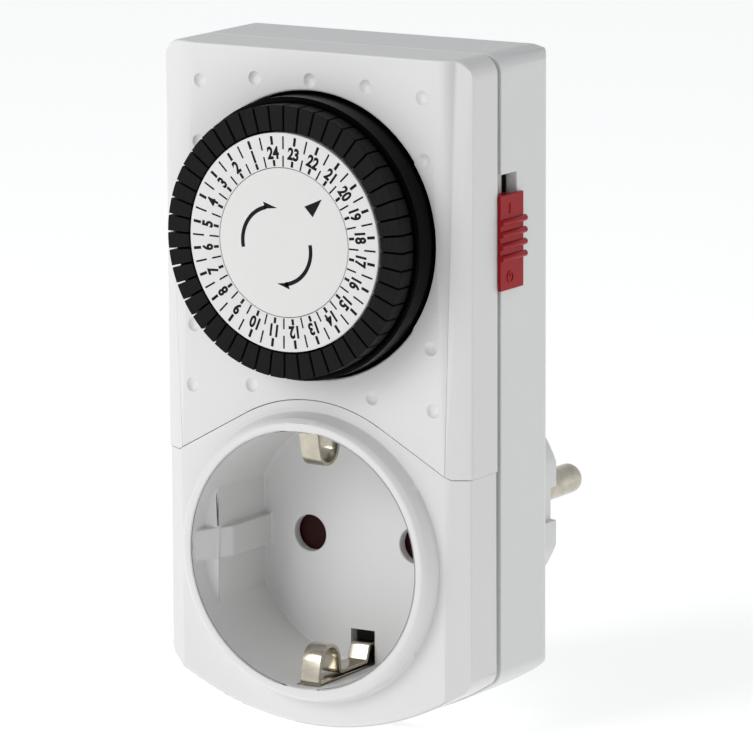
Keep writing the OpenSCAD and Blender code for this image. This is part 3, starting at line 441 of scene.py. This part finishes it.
def streaked(material, dark, light, depth):
    """Drag marks in a finish: they carry its colour from dark to light and a fine bump."""
    tree = material.node_tree
    surface = tree.nodes["Principled BSDF"]
    marks = tree.nodes.new("ShaderNodeGroup")
    marks.node_tree = streaks
    tones = tree.nodes.new("ShaderNodeMix")
    tones.data_type = "RGBA"
    tones.inputs["A"].default_value = (*dark, 1)
    tones.inputs["B"].default_value = (*light, 1)
    bump = tree.nodes.new("ShaderNodeBump")
    bump.inputs["Distance"].default_value = depth
    wire(tree,
         (marks.outputs["Streak"], tones.inputs["Factor"]),
         (tones.outputs["Result"], surface.inputs["Base Color"]),
         (marks.outputs["Streak"], bump.inputs["Height"]),
         (tree.nodes["Bump"].outputs["Normal"], bump.inputs["Normal"]),
         (bump.outputs["Normal"], surface.inputs["Normal"]))
    return material


finish_nodes(moulded("drum_black", (0.0020, 0.0020, 0.0022), (0.0012, 0.0012, 0.0014), 0.18, gleam=0.03),
             "dial_ring")
MATT_LIGHT, MATT_DARK = (0.014, 0.014, 0.014), (0.003, 0.003, 0.003)
segment_black = streaked(moulded("segment_black", MATT_LIGHT, MATT_DARK, 0.46, gleam=0.07),
                         MATT_DARK, MATT_LIGHT, 0.02 * MM)
SEGMENTS = [f"segment_{hour:02d}" for hour in range(1, 25)]
finish_nodes(segment_black, *SEGMENTS)
soft_edges(0.12 * MM, *SEGMENTS)

# ---- Number disc and middle -----------------------------------------------------------------
# Two white discs with softened rims: the outer one turns with the drum and carries the printed
# hours, the inner one is fixed to the post and carries two arrows and the pointer.


def turned(name, profile, centre_z, hollow, steps=180):
    """Turns a profile of radius and depth about an axis along Y. A hollow one closes on itself,
    and a solid one is closed by a flat face at each end of its profile."""
    profile = np.array(profile)
    angle = np.linspace(0, 2 * math.pi, steps, endpoint=False)[:, None]
    radius, depth = profile[:, 0][None], profile[:, 1][None]
    points = np.stack([radius * np.cos(angle), depth + 0 * angle, centre_z + radius * np.sin(angle)], -1)
    count = len(profile)
    index = np.arange(steps * count).reshape(steps, count)
    across = np.roll(index, -1, axis=0)
    last = count if hollow else count - 1
    after, after_across = np.roll(index, -1, axis=1), np.roll(across, -1, axis=1)
    quads = np.stack([index, after, after_across, across], -1)[:, :last].reshape(-1, 4).tolist()
    ends = [] if hollow else [index[:, 0].tolist(), index[:, -1].tolist()]
    return shaped(name, points.reshape(-1, 3), quads + ends)


def rim(radius, front, back, soft, out):
    """Profile of a disc's edge from front to back, its front corner an arc of radius soft. out is
    1 where the material lies inside the edge and -1 where it lies outside."""
    arc = np.linspace(0, math.pi / 2, 5)
    corner = [(radius - out * soft * (1 - math.sin(a)), front + soft * (1 - math.cos(a))) for a in arc]
    return corner + [(radius, back)]


disc_low, disc_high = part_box("number_disc")
dial_z = (disc_low[2] + disc_high[2]) / 2
disc_r = (disc_high[0] - disc_low[0]) / 2
cap_r, cap_back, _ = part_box("centre_cap")[1]
CAP_MIDDLE_R = 2 * MM
disc_front = disc_low[1] + 0.03 * MM
disc_back = disc_high[1]
disc_white = moulded("disc_white", (0.695, 0.689, 0.680), (0.675, 0.669, 0.661), 0.34)
disc_profile = (rim(disc_r, disc_front, disc_back, 0.15 * MM, 1)
                + rim(cap_r + 0.1 * MM, disc_front, disc_back, 0.10 * MM, -1)[::-1])
cap_profile = ([(CAP_MIDDLE_R, disc_front)] + rim(cap_r, disc_front, cap_back, 0.10 * MM, 1)
               + [(CAP_MIDDLE_R, cap_back)])
disc_mesh = turned("number_disc_face", disc_profile, dial_z, True)
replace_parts(as_piece("number_disc_face", disc_mesh, "dial", disc_white), "number_disc")
cap_mesh = turned("centre_cap_face", cap_profile, dial_z, False)
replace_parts(as_piece("centre_cap_face", cap_mesh, "housing", disc_white), "centre_cap")

# ---- Print on the dial ----------------------------------------------------------------------
# Black ink two hundredths of a millimetre thick: a bold stroke for each hour and a thin one for
# each half hour, each in an outer and an inner row, with the hours' numbers between the rows.
printed_black = moulded("printed_black", (0.010, 0.009, 0.009), (0.007, 0.007, 0.007), 0.6,
                        depth=0.002 * MM, gleam=0.10)
ink_front = disc_front - 0.015 * MM
ink_back = disc_front + 0.005 * MM
# Degrees: 24 stands this far left of the top, and each hour is one step further
DAY_TURN = 7.4
HOUR_STEP = 15.0


def on_dial(points, angle):
    """Places (across, outward) points at dial angles, in degrees from the right, counter-clockwise."""
    way = np.radians(angle)
    across, outward = points[..., 0], points[..., 1]
    x = outward * np.cos(way) + across * np.sin(way)
    z = outward * np.sin(way) - across * np.cos(way)
    return np.stack([x, z], -1)


def slabs(outlines, back, front):
    """Closed flat prints: outlines is an array of (print, corner, x and z) seen from the front, each
    one drawn out between two depths. Gives points and faces."""
    prints, corners = outlines.shape[:2]
    flat = outlines.reshape(-1, 2)
    layers = [np.stack([flat[:, 0], np.full(len(flat), depth), flat[:, 1] + dial_z], -1)
              for depth in (front, back)]
    index = np.arange(prints * corners).reshape(prints, corners)
    after = np.roll(index, -1, axis=1)
    sides = np.stack([index, after, after + prints * corners, index + prints * corners], -1).reshape(-1, 4)
    return np.concatenate(layers), index.tolist() + (index + prints * corners).tolist() + sides.tolist()


def strokes(angles, inner, outer, wide):
    """A radial stroke at each angle, between two radii, as four corners."""
    box = np.array([(-wide / 2, inner), (wide / 2, inner), (wide / 2, outer), (-wide / 2, outer)]) * MM
    return on_dial(box[None], np.array(angles)[:, None])


hour_angles = 90 + DAY_TURN + HOUR_STEP * np.arange(24)
half_angles = hour_angles + HOUR_STEP / 2
scale = np.concatenate([strokes(hour_angles, 14.75, 16.05, 0.44), strokes(hour_angles, 11.55, 12.45, 0.42),
                        strokes(half_angles, 14.1, 16.05, 0.27), strokes(half_angles, 11.45, 13.1, 0.25)])
stroke_mesh = shaped("hour_strokes", *slabs(scale, ink_back, ink_front))
as_piece("hour_strokes", stroke_mesh, "dial", printed_black)


def number_print(text, angle, radius, height, narrow, bold):
    """A number as flat ink with its top outward: the built-in letters, thickened and narrowed.
    Gives its placed points and the mesh that holds its faces."""
    letters = bpy.data.curves.new("number", "FONT")
    letters.body, letters.align_x, letters.align_y = text, "CENTER", "CENTER"
    letters.size, letters.extrude, letters.bevel_depth, letters.bevel_resolution = 1.0, 0.02, bold, 1
    holder = bpy.data.objects.new("number", letters)
    scene.collection.objects.link(holder)
    mesh = bpy.data.meshes.new_from_object(holder.evaluated_get(bpy.context.evaluated_depsgraph_get()))
    bpy.data.objects.remove(holder)
    points = np.empty(len(mesh.vertices) * 3)
    mesh.vertices.foreach_get("co", points)
    points = points.reshape(-1, 3)
    low, high = points[:, :2].min(0), points[:, :2].max(0)
    size = height / (high[1] - low[1])
    flat = (points[:, :2] - (low + high) / 2) * (size * narrow, size) + (0, radius)
    placed = on_dial(flat, np.full(len(flat), angle))
    depth = np.interp(points[:, 2], [-0.02 - bold, 0.02 + bold], [ink_back, ink_front])
    return np.stack([placed[:, 0], depth, placed[:, 1] + dial_z], -1), mesh


def joined(name, parts):
    """One mesh from several pairs of placed points and the mesh that holds their faces."""
    work = bmesh.new()
    for points, mesh in parts:
        mesh.vertices.foreach_set("co", points.astype(np.float32).ravel())
        work.from_mesh(mesh)
        bpy.data.meshes.remove(mesh)
    bmesh.ops.remove_doubles(work, verts=work.verts, dist=0.0005 * MM)
    bmesh.ops.recalc_face_normals(work, faces=work.faces)
    made = bpy.data.meshes.new(name)
    work.to_mesh(made)
    work.free()
    return made


numbers = [number_print(str(hour or 24), hour_angles[hour], 13.55 * MM, 1.95 * MM, 0.80, 0.045)
           for hour in range(24)]
as_piece("hour_numbers", joined("hour_numbers", numbers), "dial", printed_black)


def arc_band(centre, radius, start, stop, wide):
    """A curved line of even width about a centre, between two angles in degrees."""
    way = np.radians(np.linspace(start, stop, 25))[:, None]
    spoke = np.concatenate([np.cos(way), np.sin(way)], 1)
    outline = np.concatenate([spoke * (radius + wide / 2), (spoke * (radius - wide / 2))[::-1]])
    return (outline + centre) * MM


# Each arrow has an arc and half a head, whose barb points outward
for name, outline in (
        ("left_arrow_line", arc_band((-1.84, -0.07), 5.35, 192, 103, 0.62)),
        ("left_arrow_head", np.array([(-3.55, 5.95), (-1.08, 5.15), (-3.2, 4.9)]) * MM),
        ("right_arrow_line", arc_band((-0.49, -1.08), 5.25, 12, -82, 0.62)),
        ("right_arrow_head", np.array([(1.05, -7.0), (-1.15, -6.25), (0.75, -6.0)]) * MM),
        ("time_pointer", np.array([(6.76, 7.07), (3.70, 5.75), (5.15, 4.25)]) * MM)):
    print_mesh = shaped(name, *slabs(outline[None], ink_back, ink_front))
    as_piece(name, print_mesh, "housing", printed_black)

# ---- Slider ---------------------------------------------------------------------------------
# A red cap with four grip ribs, snapped through the slot onto a white carriage behind the wall.
GRIP_RIB = 0.5 * MM
slider_red = moulded("slider_red", (0.34, 0.010, 0.014), (0.30, 0.008, 0.012), 0.34, gleam=0.12)
finish_nodes(slider_red, "mode_slider")
soft_edges(0.12 * MM, "mode_slider")
slider_low, slider_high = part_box("mode_slider")
slider_face = slider_high[0] - GRIP_RIB
slider_mid_y = slider_low[1] + 2.9 * MM


def on_slider(outline):
    """Points and faces of a raised mark on the slider's outer face, from an outline in depth and
    height."""
    deep = np.repeat([slider_face - 0.05 * MM, slider_face + 0.12 * MM], len(outline))
    points = np.concatenate([deep[:, None], np.tile(outline, (2, 1))], 1)
    index = np.arange(len(outline))
    after, count = np.roll(index, -1), len(outline)
    sides = np.stack([index, after, after + count, index + count], -1).tolist()
    return points, [index.tolist(), (index + count).tolist()] + sides


def box_outline(y, z, wide, high):
    """A rectangle about a point, in depth and height."""
    corners = np.array([(-wide, -high), (wide, -high), (wide, high), (-wide, high)]) / 2 * MM
    return corners + (y, z)


def ring_outline(y, z, radius, wide):
    """An almost closed ring as one outline, out along its edge and back along its inside."""
    way = np.radians(np.linspace(1, 359, 40))[:, None]
    spoke = np.concatenate([np.cos(way), np.sin(way)], 1)
    return np.concatenate([spoke * radius, (spoke * (radius - wide))[::-1]]) * MM + (y, z)


top_mark, clock_z = slider_high[2] - 2.1 * MM, slider_low[2] + 1.9 * MM
for name, outline in (("on_mark", box_outline(slider_mid_y, top_mark, 0.35, 1.5)),
                      ("clock_ring", ring_outline(slider_mid_y, clock_z, 0.95, 0.28)),
                      ("clock_hands", box_outline(slider_mid_y, clock_z + 0.25 * MM, 0.25, 0.55))):
    as_piece(name, shaped(name, *on_slider(outline)), "mode_slider", slider_red)
finish_nodes(moulded("carriage_white", (0.74, 0.74, 0.72), (0.70, 0.70, 0.68), 0.4), "slider_carriage")
